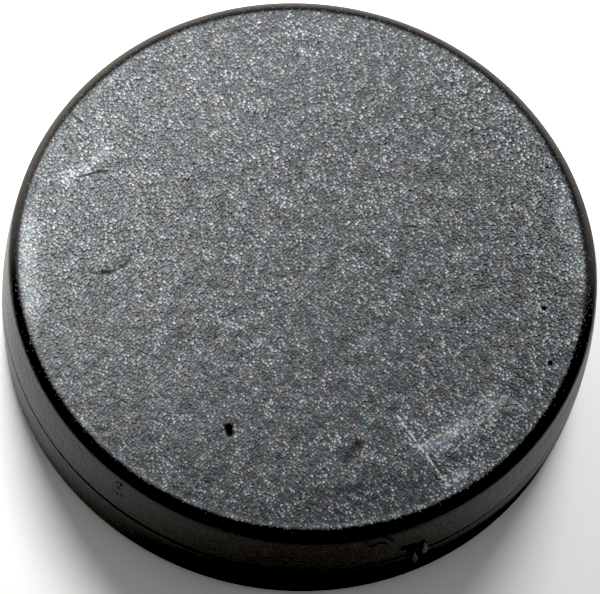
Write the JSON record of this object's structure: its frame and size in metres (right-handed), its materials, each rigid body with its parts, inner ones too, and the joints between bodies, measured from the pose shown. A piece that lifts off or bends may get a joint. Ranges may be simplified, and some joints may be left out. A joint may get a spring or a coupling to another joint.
{
  "type": "rubber-coated disc magnet",
  "caption": "Round flat magnet in a black moulded rubber coat, with grained faces, rounded edges and a seam line round the middle of its side.",
  "frame": {"origin": "centre of the lower face, which the magnet stands on", "axes": "+Z along the disc's axis, out of the upper face; X and Y across the disc, with -Y towards the gate mark's side"},
  "size_m": [0.022, 0.022, 0.0056],
  "materials": {
    "coat": "fine moulded grain, satin black",
    "plating": "smooth nickel plate"
  },
  "bodies": {
    "root": {"upper_coat": "coat", "lower_coat": "coat", "magnet_disc": "plating"}
  },
  "joints": []
}
